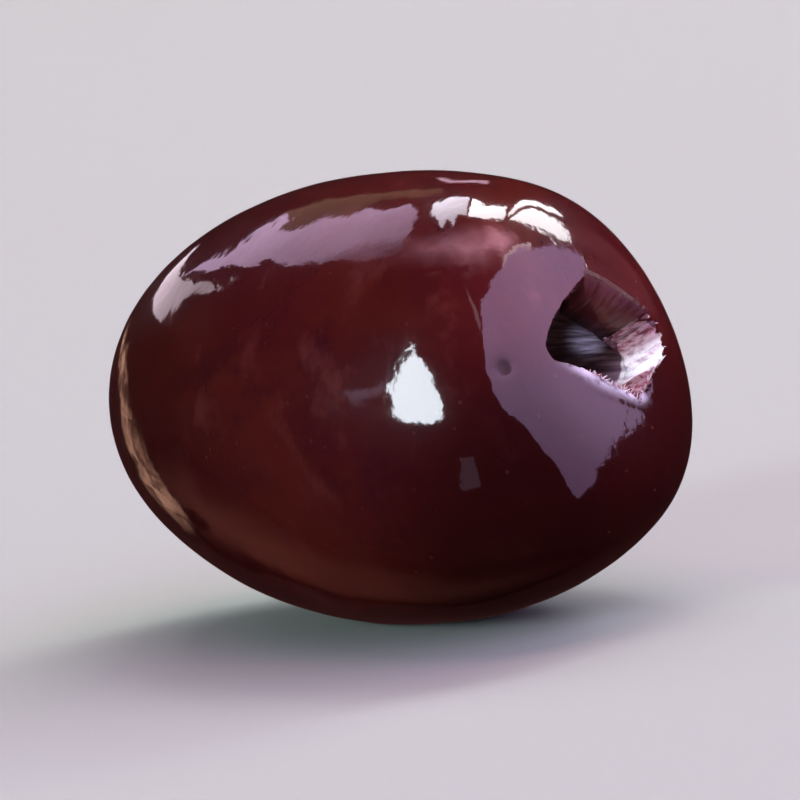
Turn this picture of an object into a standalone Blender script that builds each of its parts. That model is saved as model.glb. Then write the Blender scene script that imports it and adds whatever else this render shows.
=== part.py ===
# A pitted kalamata olive, lying on its side, in metres with +Z up.
# It is one piece: skin and flesh grown together, with the stone pushed out of it.
# The long axis runs along X, the torn mouth that the stone left by is at +X, and the pointed tip at -X.
# The tip keeps the star-shaped cut of the punch. The origin is under the middle of the box around it,
# on the plane of the small flat spot that it rests on.
#
# The whole surface is one closed loft of rings: out over the skin from the mouth to the tip, in between
# the flaps of the star cut, and back through the stone's hollow and the throat to the mouth's lip.

import math

import bmesh
import bpy
import numpy as np

MM = 0.001

# The fruit's outside
CORE_HALF = 15.3 * MM  # half of the core line, from the middle to either end
GIRTH_RADIUS = 9.0 * MM
FULLNESS = 0.079  # how much wider the mouth half is than the tip half
BLUNT_MOUTH = 0.358  # power of the profile at the mouth, small for a blunt end
ROUND_TIP = 1.04  # the same at the tip, where 1 gives a rounded point
OVAL = 0.091  # how far the mouth end is from round
OVAL_AZIMUTH = math.radians(75.9)  # where it is tallest, from +Y towards +Z
BEND_SIDE = 1.45 * MM  # how far the core line has bent to +Y at the mouth
BEND_UP = 2.28 * MM  # and upwards
LOBE = 0.007  # gentle unevenness, as a share of the radius
REST_CUT = 0.22 * MM  # depth of the flat spot under the belly

# The torn mouth: its radius round the core line is a mean and a few waves (count, height, azimuth of a crest)
MOUTH_RADIUS = 2.92 * MM
MOUTH_WAVES = (
    (1, 0.68 * MM, math.radians(25)),
    (2, 0.45 * MM, math.radians(-13)),
    (3, 0.14 * MM, math.radians(48)),
    (4, 0.24 * MM, math.radians(-9)),
)
FLAP_SINK = 0.45 * MM  # how far the skin has folded in on the far side of the mouth
FLAP_REACH = 1.3 * MM
FLAP_AZIMUTH = math.radians(60)
LIP_DEPTH = 0.8 * MM  # how far the torn edge goes straight in before the throat opens
LIP_ROUND = 0.12 * MM

# The star cut that the punch left in the tip
STAR_ARM = 2.3 * MM
STAR_SLIMNESS = 0.3  # small for narrow arms
STAR_AZIMUTH = math.radians(25)
STAR_DIMPLE = 0.3 * MM  # how far the tips of the flaps are pushed in
FLAP_THICKNESS = 2.2 * MM

# The hollow that the stone left, with its throat
HOLLOW_TIP_X = -12.6 * MM
HOLLOW_RADIUS = 3.8 * MM
HOLLOW_TIP_RADIUS = 1.2 * MM
THROAT_RADIUS = 3.2 * MM
THROAT_TURN = 1.2 * MM  # how gently the throat turns into the hollow

# How finely the surface is divided
SEGMENTS = 64
SKIN_RINGS = 30
HOLLOW_RINGS = 18
CLUSTER = 0.85  # how far the segments crowd to the arms of the star cut
SHARP_ANGLE = math.radians(50)

SKIN_COLOUR = (0.060, 0.010, 0.010, 1.0)
SKIN_ROUGHNESS = 0.18


def smooth(value):
    """0 below 0, 1 above 1, and an even curve between them."""
    held = np.clip(value, 0.0, 1.0)
    return held * held * (3.0 - 2.0 * held)


def dots(x, y, z):
    return np.stack(np.broadcast_arrays(x, y, z), axis=-1)


def unit(vectors):
    return vectors / np.linalg.norm(vectors, axis=-1, keepdims=True)


def core_point(x):
    """The core line: straight in the tip half, then off to one side and up, as the cube of x, to the mouth."""
    along = np.maximum(x / CORE_HALF, 0.0)
    return dots(x, BEND_SIDE * along**3, BEND_UP * along**3)


def core_axes(x):
    """The direction of the core line at x, and the two directions across it, sideways and up."""
    slope = 3.0 * np.maximum(x / CORE_HALF, 0.0) ** 2 / CORE_HALF
    ahead = unit(dots(1.0, BEND_SIDE * slope, BEND_UP * slope))
    aside = unit(np.cross((0.0, 0.0, 1.0), ahead))
    return ahead, aside, np.cross(ahead, aside)


def around(azimuth, aside, above):
    """The direction across the core line at an azimuth, from sideways towards up."""
    return np.cos(azimuth)[..., None] * aside + np.sin(azimuth)[..., None] * above


def skin_radius(turn, azimuth):
    """Distance of the skin from the core line. turn runs from 0 at the mouth end to pi at the tip."""
    mouthward = (1.0 + np.cos(turn)) / 2.0
    power = ROUND_TIP + (BLUNT_MOUTH - ROUND_TIP) * mouthward
    oval = 1.0 + OVAL * np.cos(2.0 * (azimuth - OVAL_AZIMUTH)) * mouthward
    lobes = np.cos(3.0 * azimuth + 2.0 * turn) + 0.8 * np.cos(2.0 * azimuth - 3.0 * turn + 1.0)
    uneven = 1.0 + LOBE * lobes * np.sin(turn)
    fullness = 1.0 + FULLNESS * np.cos(turn)
    return GIRTH_RADIUS * np.sin(turn) ** power * fullness * oval * uneven


def mouth_radius(azimuth):
    waves = (height * np.cos(count * (azimuth - crest)) for count, height, crest in MOUTH_WAVES)
    return MOUTH_RADIUS + sum(waves)


def star_radius(azimuth):
    """A four-armed star: full length along the arms, and drawn in to the tips of the flaps between them."""
    between = np.abs(np.sin(2.0 * (azimuth - STAR_AZIMUTH)))
    return STAR_ARM * STAR_SLIMNESS / (STAR_SLIMNESS + between)


def crowded(theta, amount):
    """Azimuths of the segments, crowded towards the arms of the star by an amount from 0 to 1."""
    return theta - amount / 4.0 * np.sin(4.0 * (theta - STAR_AZIMUTH))


def even_turns(count):
    """Values of turn at even steps along the skin from mouth to star, a little closer at both ends."""
    first = (MOUTH_RADIUS / GIRTH_RADIUS / (1.0 + FULLNESS)) ** (1.0 / BLUNT_MOUTH)
    last = math.pi - (STAR_ARM / GIRTH_RADIUS / 2.0) ** (1.0 / ROUND_TIP)
    powers = np.linspace(first**BLUNT_MOUTH, last**BLUNT_MOUTH, 600)
    turn = powers ** (1.0 / BLUNT_MOUTH)
    run = np.diff(CORE_HALF * np.cos(turn))
    rise = np.diff(skin_radius(turn, np.full_like(turn, OVAL_AZIMUTH)))
    length = np.concatenate([[0.0], np.cumsum(np.hypot(run, rise))])
    step = np.linspace(0.0, 1.0, count)
    share = step - 0.35 * np.sin(2.0 * math.pi * step) / (2.0 * math.pi)
    return np.interp(share * length[-1], length, turn)


def skin_points(theta):
    """The outside, from the mouth's lip to the rim of the star cut."""
    turn = even_turns(SKIN_RINGS)[:, None]
    step = np.linspace(0.0, 1.0, SKIN_RINGS)[:, None]
    azimuth = crowded(theta, CLUSTER * smooth((step - 0.62) / 0.3))
    # Near the mouth the radius grows as a power of turn, and the rings move in that power to meet the lip.
    oval = 1.0 + OVAL * np.cos(2.0 * (azimuth - OVAL_AZIMUTH))
    at_lip = mouth_radius(azimuth) / (GIRTH_RADIUS * (1.0 + FULLNESS) * oval)
    power = turn**BLUNT_MOUTH + (at_lip - turn[0] ** BLUNT_MOUTH) * (1.0 - smooth(step / 0.3))
    turn = power ** (1.0 / BLUNT_MOUTH)
    # Near the tip the radius grows as a power of the rest of the turn, and the rings end on the star.
    rest = math.pi - turn
    at_star = (star_radius(azimuth) / (GIRTH_RADIUS * (1.0 - FULLNESS))) ** (1.0 / ROUND_TIP)
    rest = rest + (at_star - rest[-1]) * smooth((step - 0.8) / 0.2)
    turn = math.pi - rest
    x = CORE_HALF * np.cos(turn)
    ahead, aside, above = core_axes(x)
    radius = skin_radius(turn, azimuth)
    points = core_point(x) + radius[..., None] * around(azimuth, aside, above)
    facing = np.maximum(np.cos(azimuth - FLAP_AZIMUTH), 0.0) ** 2
    near_lip = np.exp(-(((radius - mouth_radius(azimuth)) / FLAP_REACH) ** 2)) * (x > 0.0)
    points = points - (FLAP_SINK * facing * near_lip)[..., None] * ahead
    near_star = np.exp(-((radius / (0.5 * STAR_ARM)) ** 2)) * (x < 0.0)
    points[..., 0] += STAR_DIMPLE * near_star
    return points


def lip_points(rim):
    """The rounded torn edge, from the bottom of its straight part back up to just inside the skin's rim."""
    ahead, aside, above = core_axes(np.array(CORE_HALF))
    theta = np.linspace(0.0, 2.0 * math.pi, SEGMENTS, endpoint=False)
    inward = -around(theta, aside, above)
    depths = (LIP_DEPTH, LIP_DEPTH * 0.6, LIP_ROUND * 1.8, LIP_ROUND * 0.5)
    insets = (0.5 * LIP_ROUND, LIP_ROUND, LIP_ROUND, 0.6 * LIP_ROUND)
    return np.stack([rim - depth * ahead + inset * inward for depth, inset in zip(depths, insets)])


def star_points(rim):
    """The faces of the flaps, from the rim of the star cut inwards."""
    depths = (0.08 * MM, 0.3 * FLAP_THICKNESS, 0.65 * FLAP_THICKNESS)
    return np.stack([rim + np.array((depth, 0.0, 0.0)) for depth in depths])


def bezier(share, corners):
    """The point and direction of a cubic curve with four corners."""
    t = share[..., None]
    a, b, c, d = corners
    point = a * (1 - t) ** 3 + 3 * b * t * (1 - t) ** 2 + 3 * c * t**2 * (1 - t) + d * t**3
    slope = 3 * (b - a) * (1 - t) ** 2 + 6 * (c - b) * t * (1 - t) + 3 * (d - c) * t**2
    return point, unit(slope)


def hollow_points(theta, throat):
    """The stone's hollow, from the flaps to the bottom ring of the lip, round a line of its own."""
    mouth = throat.mean(axis=0)
    ahead = core_axes(np.array(CORE_HALF))[0]
    tip = np.array((HOLLOW_TIP_X, 0.0, 0.0))
    to_mouth = unit(mouth - tip)
    corners = (tip, tip + 0.4 * CORE_HALF * to_mouth, mouth - THROAT_TURN * ahead, mouth)
    share = np.linspace(0.0, 1.0, HOLLOW_RINGS + 1)[:-1]
    centre, along = bezier(share, corners)
    aside = unit(np.cross((0.0, 0.0, 1.0), along))
    above = np.cross(along, aside)
    share = share[:, None]
    azimuth = crowded(theta, CLUSTER * (1.0 - smooth(share / 0.35)))
    ends = HOLLOW_TIP_RADIUS + (THROAT_RADIUS - HOLLOW_TIP_RADIUS) * share
    middle = HOLLOW_RADIUS - (HOLLOW_TIP_RADIUS + THROAT_RADIUS) / 2.0
    bulge = middle * np.sin(math.pi * share) ** 1.2
    star = 1.0 - smooth(share / 0.14)
    radius = ends + bulge + (star_radius(azimuth) - ends) * star
    round_ring = radius[..., None] * around(azimuth, aside[:, None], above[:, None])
    # The last rings take up the outline of the torn mouth, turned from the axes there to those of each ring.
    end_axes = np.stack(core_axes(np.array(CORE_HALF)))
    torn_ring = (throat - mouth) @ end_axes.T @ np.stack([along, aside, above], axis=1)
    torn = smooth((share - 0.62) / 0.38)[..., None]
    return centre[:, None] + round_ring * (1.0 - torn) + torn_ring * torn


def loft(rings):
    """A closed mesh over rings that also close on each other, with its faces pointing out."""
    mesh = bmesh.new()
    corners = [[mesh.verts.new(point) for point in ring] for ring in rings.tolist()]
    for here, after in zip(corners, corners[1:] + corners[:1]):
        for side in range(SEGMENTS):
            following = (side + 1) % SEGMENTS
            mesh.faces.new((here[side], after[side], after[following], here[following]))
    bmesh.ops.recalc_face_normals(mesh, faces=mesh.faces)
    return mesh


def cut_rest_spot(mesh):
    """Slices the belly off flat, closes the cut, and moves the fruit so that the cut lies at z = 0."""
    low = min(vert.co.z for vert in mesh.verts) + REST_CUT
    everything = mesh.verts[:] + mesh.edges[:] + mesh.faces[:]
    plane = {"plane_co": (0.0, 0.0, low), "plane_no": (0.0, 0.0, 1.0)}
    bmesh.ops.bisect_plane(mesh, geom=everything, dist=1e-7, clear_inner=True, **plane)
    spot = bmesh.ops.edgeloop_fill(mesh, edges=[edge for edge in mesh.edges if edge.is_boundary])["faces"]
    where = np.array([vert.co for vert in mesh.verts])
    middle = (where.min(axis=0) + where.max(axis=0)) / 2.0
    bmesh.ops.translate(mesh, vec=(-middle[0], -middle[1], -low), verts=mesh.verts)
    bmesh.ops.recalc_face_normals(mesh, faces=mesh.faces)
    return spot


def shade(mesh, spot):
    """Smooth all over, apart from the flat spot and the sharp edges of the cut and the lip."""
    for face in mesh.faces:
        face.smooth = face not in spot
    for edge in mesh.edges:
        beside_spot = any(face in spot for face in edge.link_faces)
        edge.smooth = not beside_spot and edge.calc_face_angle(0.0) < SHARP_ANGLE


def skin_material():
    material = bpy.data.materials.new("olive skin")
    material.use_nodes = True
    shader = material.node_tree.nodes["Principled BSDF"]
    shader.inputs["Base Color"].default_value = SKIN_COLOUR
    shader.inputs["Roughness"].default_value = SKIN_ROUGHNESS
    shader.inputs["Metallic"].default_value = 0.0
    material.diffuse_color = SKIN_COLOUR
    return material


def make_olive():
    theta = np.linspace(0.0, 2.0 * math.pi, SEGMENTS, endpoint=False)
    skin = skin_points(theta)
    flaps = star_points(skin[-1])
    lip = lip_points(skin[0])
    hollow = hollow_points(theta, lip[0])
    mesh = loft(np.concatenate([skin, flaps, hollow, lip]))
    shade(mesh, cut_rest_spot(mesh))
    data = bpy.data.meshes.new("olive")
    mesh.to_mesh(data)
    mesh.free()
    data.materials.append(skin_material())
    olive = bpy.data.objects.new("olive", data)
    bpy.context.scene.collection.objects.link(olive)
    return olive


for leftover in list(bpy.data.objects):
    bpy.data.objects.remove(leftover)
make_olive()
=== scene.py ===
import math

import bpy
import numpy as np
from mathutils import Matrix, Vector


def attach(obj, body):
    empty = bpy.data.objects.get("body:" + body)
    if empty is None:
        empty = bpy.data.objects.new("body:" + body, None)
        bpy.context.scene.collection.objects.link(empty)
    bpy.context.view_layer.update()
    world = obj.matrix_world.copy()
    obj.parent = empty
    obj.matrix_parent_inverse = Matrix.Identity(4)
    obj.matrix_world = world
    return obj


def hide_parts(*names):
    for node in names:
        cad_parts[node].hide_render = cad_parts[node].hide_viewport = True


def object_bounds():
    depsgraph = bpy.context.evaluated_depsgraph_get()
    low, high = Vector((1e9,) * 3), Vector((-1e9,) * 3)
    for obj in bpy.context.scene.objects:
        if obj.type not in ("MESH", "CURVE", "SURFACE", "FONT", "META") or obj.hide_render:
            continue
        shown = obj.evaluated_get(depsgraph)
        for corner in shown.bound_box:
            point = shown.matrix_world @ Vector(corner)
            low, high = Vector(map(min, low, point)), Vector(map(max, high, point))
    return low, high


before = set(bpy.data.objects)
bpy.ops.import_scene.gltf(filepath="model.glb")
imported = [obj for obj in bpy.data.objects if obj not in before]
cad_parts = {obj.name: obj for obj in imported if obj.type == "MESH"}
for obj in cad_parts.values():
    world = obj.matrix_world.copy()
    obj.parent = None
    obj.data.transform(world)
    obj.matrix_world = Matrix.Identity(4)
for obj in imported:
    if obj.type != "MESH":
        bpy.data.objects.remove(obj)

cadLow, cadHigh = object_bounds()
mm = 0.001
fullTurn = 2.0 * math.pi
print("frame loaded, box in mm", [round((high - low) / mm, 2) for low, high in zip(cadLow, cadHigh)])


# Small helpers for the numpy surfaces

def eased(value):  # 0 below 0, 1 above 1, 3v^2 - 2v^3 between
    held = np.clip(value, 0.0, 1.0)
    return held * held * (3.0 - 2.0 * held)


def after(value, start, reach):  # 0 up to the start, then eased up to 1 over the reach
    return eased((value - start) / reach)


def bell(distance):  # exp(-d^2), which is 1 at no distance and all but gone at 2
    return np.exp(-(distance**2))


def dots(x, y, z):  # one array of points from three arrays of coordinates
    return np.stack(np.broadcast_arrays(x, y, z), axis=-1)


def unit(vectors):
    return vectors / np.linalg.norm(vectors, axis=-1, keepdims=True)


def turnedFrom(azimuth, middle):  # degrees from a middle in degrees to an azimuth in radians
    return np.degrees(np.angle(np.exp(1j * (azimuth - math.radians(middle)))))


def bumpAt(azimuth, middle, width):  # 1 at the middle azimuth, falling as a bell curve of that width
    return bell(turnedFrom(azimuth, middle) / width)


def between(azimuth, low, high, softLow, softHigh):  # 1 from one azimuth to another, with a soft edge at each
    half = (high - low) / 2.0
    aside = turnedFrom(azimuth, low + half)
    return eased((aside + half) / softLow + 0.5) * eased((half - aside) / softHigh + 0.5)


rippleMix = {"waves": 28, "stretch": (0.7, 1.4), "strength": 0.6}


def ripples(points, wavelength, seed):
    # the sum of many sine waves in random directions, scaled to about -1 to 1
    count = rippleMix["waves"]
    draw = np.random.default_rng(seed)
    directions = unit(draw.normal(size=(count, 3))) * (fullTurn / wavelength)
    directions = directions * draw.uniform(*rippleMix["stretch"], size=(count, 1))
    phases = draw.uniform(0.0, fullTurn, size=count)
    waves = np.sin(points @ directions.T + phases).sum(axis=-1)
    return waves * math.sqrt(2.0 / count) * rippleMix["strength"]


def gridQuads(rings, segments, closed=True):
    # a quad for each cell of a grid of rings by segments, which may close on itself both ways
    ring = np.arange(rings if closed else rings - 1)[:, None]
    side = np.arange(segments if closed else segments - 1)[None, :]
    ringNext, sideNext = (ring + 1) % rings, (side + 1) % segments
    corners = (ring * segments + side, ringNext * segments + side,
               ringNext * segments + sideNext, ring * segments + sideNext)
    return np.stack(corners, axis=-1).reshape(-1, 4)


def placed(name, data):  # a new object in the scene
    thing = bpy.data.objects.new(name, data)
    bpy.context.scene.collection.objects.link(thing)
    return thing


def meshObject(name, points, quads):
    mesh = bpy.data.meshes.new(name)
    mesh.vertices.add(len(points))
    mesh.vertices.foreach_set("co", points.astype(np.float32).ravel())
    mesh.loops.add(quads.size)
    mesh.loops.foreach_set("vertex_index", quads.astype(np.int32).ravel())
    mesh.polygons.add(len(quads))
    mesh.polygons.foreach_set("loop_start", np.arange(0, quads.size, quads.shape[1], dtype=np.int32))
    mesh.update(calc_edges=True)
    mesh.shade_smooth()
    return placed(name, mesh)


def giveAttributes(piece, **given):  # numbers or vectors for each point, which the materials read by name
    for name, values in given.items():
        kind, field = ("FLOAT", "value") if values.ndim == 2 else ("FLOAT_VECTOR", "vector")
        attribute = piece.data.attributes.new(name, kind, "POINT")
        attribute.data.foreach_set(field, values.astype(np.float32).ravel())


def fullCircle(count):  # even angles all round
    return np.linspace(0.0, fullTurn, count, endpoint=False)


# The fruit: one closed surface, out over the skin, in between the flaps, back through the hollow to the lip

fruit = {
    "coreHalf": 15.3 * mm,  # half of the core line
    "girthRadius": 9.0 * mm,
    "fullness": 0.079,  # how much wider the half with the stone hole is
    "bluntMouth": 0.358,  # power of the profile at that end
    "roundTip": 1.04,  # and at the tip
    "oval": 0.091,
    "ovalAzimuth": math.radians(75.9),
    "bendSide": 1.45 * mm,
    "bendUp": 2.28 * mm,
    "lobeHeight": 0.007,  # gentle unevenness, as a share of the radius
    "lobes": ((1.0, 3.0, 2.0, 0.0), (0.8, 2.0, -3.0, 1.0)),  # height, waves round, twist, phase
    "restCut": 0.22 * mm,  # how far the belly is pressed flat where it lies
    "restEdge": 0.02 * mm,  # and how softly the flat spot ends
    "dents": (0.035 * mm, 7.0 * mm, 3),  # depth, length and seed of the shallow dents
    "uneven": (0.006 * mm, 1.4 * mm, 4),  # and of the fine unevenness
    "unevenStretch": (0.6, 1.0, 1.0),
    "reliefFade": (0.6 * mm, 0.05),  # how far off the rim both are full, and off the star as a share
    # small pits: a point beside them, width and depth, all in mm
    "pits": (((16.0, -3.9, 2.5), 0.34, 0.13), ((4.2, -7.6, 5.4), 0.35, 0.015),
             ((-4.7, -8.6, 0.4), 0.3, 0.015), ((-9.0, 4.0, 5.0), 0.4, 0.02),
             ((6.0, 8.8, 2.0), 0.4, 0.02), ((-2.0, 2.5, 8.3), 0.35, 0.02)),
    "segments": 320,
    "skinRings": 160,
    "turnSteps": 3000,  # steps in which the skin's length is measured
    "endCrowd": 0.45,  # how much closer the rings lie at both ends
    # shares of the skin over which it leaves the rim's shape, and the small tears in it
    "rimReach": 0.3,
    "tearReach": 0.045,
    # start and reach of where segments draw to the star's arms, and where rings take on its outline
    "crowdOver": (0.62, 0.3),
    "starOver": (0.8, 0.2),
}

stoneHole = {
    # azimuth in degrees and radius in mm round the torn rim
    "rim": ((4, 3.98), (12, 3.75), (24, 3.33), (37, 3.19), (53, 3.16), (65, 3.21), (72, 2.85), (84, 2.52),
            (96, 2.32), (121, 2.24), (134, 2.36), (147, 2.56), (160, 2.87), (169, 3.18), (181, 3.09),
            (190, 2.36), (205, 1.87), (220, 1.74), (235, 1.76), (250, 1.86), (263, 2.06), (281, 2.67),
            (301, 2.89), (321, 2.99), (338, 3.82), (351, 4.00)),
    "meanRadius": 2.9 * mm,
    "rimSteps": 2000,  # steps round the rim
    "cornerSteps": 20,  # over how many of them, either way, its corners are rounded
    "tear": (283, 3.0, 0.25 * mm),  # a split in the rim: azimuth, width in degrees, length
    "tearWaves": (17, 23, 31, 43, 59),
    "ragged": 0.05 * mm,
    "raggedLeast": 0.2,  # how ragged the rim is where it isn't torn, as a share of that
    "fold": (5, 66, 26, 9),  # where the skin rolls into the hole: azimuths and the softness of each end
    "torn": (-84, 8, 30, 24),  # where the flesh is torn
    "white": (326, 350, 12, 14),  # where it is palest, and painted brighter as a highlight
    "edge": (196, 292, 30, 10),  # where the skin's torn edge is pale, with a painted highlight along the lower lip
    "edgeHighlightReach": 0.32 * mm,
    "lipRaise": (0.05 * mm, 250, 34),  # how far the lower lip stands up, and the azimuth and width of that
    "lipBand": (0.40, 0.25),  # how far off the rim it does, and how wide, in mm
    "foldRaise": (0.05 * mm, 0.6 * mm),  # how far skin rises before it rolls in, and from how far off
    # how far the rounded edge reaches in and down, in mm: anywhere, and more at the fold and the lower lip
    "roundIn": (0.07, 0.80, 0.22),
    "roundDown": (0.07, 1.05, 0.30),
    "roundShare": 0.3,  # share of the lip's rings that lie on it
    "wall": 0.9 * mm,  # height of the torn wall, and how much more there is on its deepest side
    "wallMore": 1.1 * mm,
    "wallLean": 0.12,  # how far the wall leans in, as a share of its height
    "fibres": ((29, 1.5), (41, -2.0), (53, 2.5), (71, -1.5), (97, 2.0)),  # waves round, and their lean
    "fibreHeight": 0.13 * mm,
    "fibreLeast": 0.12,  # how much of it there is where the flesh isn't torn
    "tipWaves": (37, 61, 83),  # tips that stand up: waves round, height, place and width on the wall
    "tipHeight": 0.22 * mm,
    "tipBand": (0.12, 0.08),
    "lipRings": 72,
    "throatRadius": 3.2 * mm,
    "throatTurn": 1.2 * mm,
}

starCut = {
    "arm": 2.3 * mm,
    "slimness": 0.3,
    "azimuth": math.radians(25),
    "dimple": 0.3 * mm,  # how far the flaps are pushed in, and how far from the middle, in arms
    "dimpleReach": 0.5,
    "thickness": 2.2 * mm,
    "flapShare": 0.65,  # how much of the thickness the flaps' own rings cover
    "flapPower": 1.5,  # the rings lie closer at the skin
    "rings": 10,
    "crowd": 0.6,
}

hollow = {
    "tipX": -12.6 * mm,
    "radius": 3.8 * mm,
    "tipRadius": 1.2 * mm,
    "straight": 0.4,  # how far its line runs straight from the tip, as a share of the core's half
    "bulgePower": 1.2,
    "starShare": 0.14,  # shares of its length over which it leaves the star, and the segments spread out
    "crowdShare": 0.35,
    "tornOver": (0.62, 0.38),  # start and reach of where it takes on the torn outline
    "ridge": 0.09 * mm,
    "rings": 50,
}


def corePoint(x):  # straight in the tip half, then sideways and up as the cube of x
    along = np.maximum(x / fruit["coreHalf"], 0.0)
    return dots(x, fruit["bendSide"] * along**3, fruit["bendUp"] * along**3)


def coreAxes(x):  # along the core line, across it sideways, and across it upwards
    slope = 3.0 * np.maximum(x / fruit["coreHalf"], 0.0) ** 2 / fruit["coreHalf"]
    ahead = unit(dots(1.0, fruit["bendSide"] * slope, fruit["bendUp"] * slope))
    aside = unit(np.cross((0.0, 0.0, 1.0), ahead))
    return ahead, aside, np.cross(ahead, aside)


def around(azimuth, aside, above):  # outwards at an azimuth: its cosine sideways and its sine upwards
    return np.cos(azimuth)[..., None] * aside + np.sin(azimuth)[..., None] * above


mouthAxes = coreAxes(np.array(fruit["coreHalf"]))


def skinRadius(turn, azimuth):
    # girth times a power of sin(turn), blunt at the stone hole and rounder at the tip, a little oval, times
    # lobes that are cosines of azimuth and turn
    mouthward = (1.0 + np.cos(turn)) / 2.0
    power = fruit["roundTip"] + (fruit["bluntMouth"] - fruit["roundTip"]) * mouthward
    oval = 1.0 + fruit["oval"] * np.cos(2.0 * (azimuth - fruit["ovalAzimuth"])) * mouthward
    lobes = sum(height * np.cos(waves * azimuth + twist * turn + phase)
                for height, waves, twist, phase in fruit["lobes"])
    uneven = 1.0 + fruit["lobeHeight"] * lobes * np.sin(turn)
    fullness = 1.0 + fruit["fullness"] * np.cos(turn)
    return fruit["girthRadius"] * np.sin(turn) ** power * fullness * oval * uneven


def foldShare(azimuth):  # 1 where the skin has rolled into the hole
    return between(azimuth, *stoneHole["fold"])


def tornShare(azimuth):  # 1 where the rim is ragged and flesh shows
    return between(azimuth, *stoneHole["torn"])


def rimRadius(azimuth, ragged=1.0):
    # a closed curve through the rim's points, smoothed with bell weights, plus tears that are sines of the
    # azimuth, and one split
    angles, radii = np.array(stoneHole["rim"]).T
    angles = np.radians(np.concatenate([angles[-3:] - 360.0, angles, angles[:3] + 360.0]))
    radii = np.concatenate([radii[-3:], radii, radii[:3]]) * mm
    fine = np.linspace(angles[0], angles[-1], stoneHole["rimSteps"])
    reach = stoneHole["cornerSteps"]
    weights = bell(np.linspace(-2.0, 2.0, 2 * reach + 1))
    curve = np.pad(np.interp(fine, angles, radii), reach, mode="edge")
    curve = np.convolve(curve, weights / weights.sum(), "valid")
    tears = sum(np.sin(count * azimuth + count**2) for count in stoneHole["tearWaves"]) / 3.0
    middle, width, length = stoneHole["tear"]
    split = length * bumpAt(azimuth, middle, width)
    tears = stoneHole["ragged"] * (stoneHole["raggedLeast"] + tornShare(azimuth)) * tears
    return np.interp(np.mod(azimuth, fullTurn), fine, curve) + ragged * (tears + split)


def starRadius(azimuth):  # a four-armed star: full length along the arms, drawn in to the flap tips between
    aside = np.abs(np.sin(2.0 * (azimuth - starCut["azimuth"])))
    return starCut["arm"] * starCut["slimness"] / (starCut["slimness"] + aside)


def crowded(theta, amount):  # segments drawn towards the arms of the star
    return theta - amount / 4.0 * np.sin(4.0 * (theta - starCut["azimuth"]))


def evenTurns(count):
    # values of turn at even steps along the skin, a little closer at both ends, from the stone hole's mean
    # radius to half a star arm's
    girth, blunt = fruit["girthRadius"], fruit["bluntMouth"]
    first = (stoneHole["meanRadius"] / girth / (1.0 + fruit["fullness"])) ** (1.0 / blunt)
    last = math.pi - (starCut["arm"] / girth / 2.0) ** (1.0 / fruit["roundTip"])
    turn = np.linspace(first ** blunt, last ** blunt, fruit["turnSteps"]) ** (1.0 / blunt)
    run = np.diff(fruit["coreHalf"] * np.cos(turn))
    rise = np.diff(skinRadius(turn, np.full_like(turn, fruit["ovalAzimuth"])))
    length = np.concatenate([[0.0], np.cumsum(np.hypot(run, rise))])
    step = np.linspace(0.0, 1.0, count)
    share = step - fruit["endCrowd"] * np.sin(fullTurn * step) / fullTurn
    return np.interp(share * length[-1], length, turn)


def skinTurns(theta):
    # turn and azimuth of the skin's points: even rings, the first bent to the torn rim, the last to the star.
    # The radius starts as a power of the turn, so it is that power which takes on the rim's shape
    girth, fullness, blunt = fruit["girthRadius"], fruit["fullness"], fruit["bluntMouth"]
    step = np.linspace(0.0, 1.0, fruit["skinRings"])[:, None]
    azimuth = crowded(theta, starCut["crowd"] * after(step, *fruit["crowdOver"]))
    oval = 1.0 + fruit["oval"] * np.cos(2.0 * (azimuth - fruit["ovalAzimuth"]))
    smoothRim, tornRim = (rimRadius(azimuth, ragged) / (girth * (1.0 + fullness) * oval)
                          for ragged in (0.0, 1.0))
    power = evenTurns(len(step))[:, None] ** blunt
    power = power + (smoothRim - power[0]) * (1.0 - eased(step / fruit["rimReach"]))
    power = power + (tornRim - smoothRim) * (1.0 - eased(step / fruit["tearReach"]))
    rest = math.pi - power ** (1.0 / blunt)
    atStar = (starRadius(azimuth) / (girth * (1.0 - fullness))) ** (1.0 / fruit["roundTip"])
    turn = math.pi - (rest + (atStar - rest[-1]) * after(step, *fruit["starOver"]))
    return turn, azimuth, step


def pressPits(points, outward):
    # each pit is a bell of its depth, pushed in along the normal, square to rings and lengthwise lines
    across = np.roll(points, -1, axis=1) - np.roll(points, 1, axis=1)
    normal = unit(np.cross(np.gradient(points, axis=0), across))
    normal = normal * np.sign((normal * outward).sum(axis=-1).mean())
    deepest = max(depth for place, width, depth in fruit["pits"])
    pitted = np.zeros(points.shape[:2])
    for place, width, depth in fruit["pits"]:
        away = np.linalg.norm(points - np.array(place) * mm, axis=-1) / (width * mm)
        points = points - (depth * mm * bell(away))[..., None] * normal
        pitted = pitted + depth / deepest * bell(away)
    return points, pitted


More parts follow.
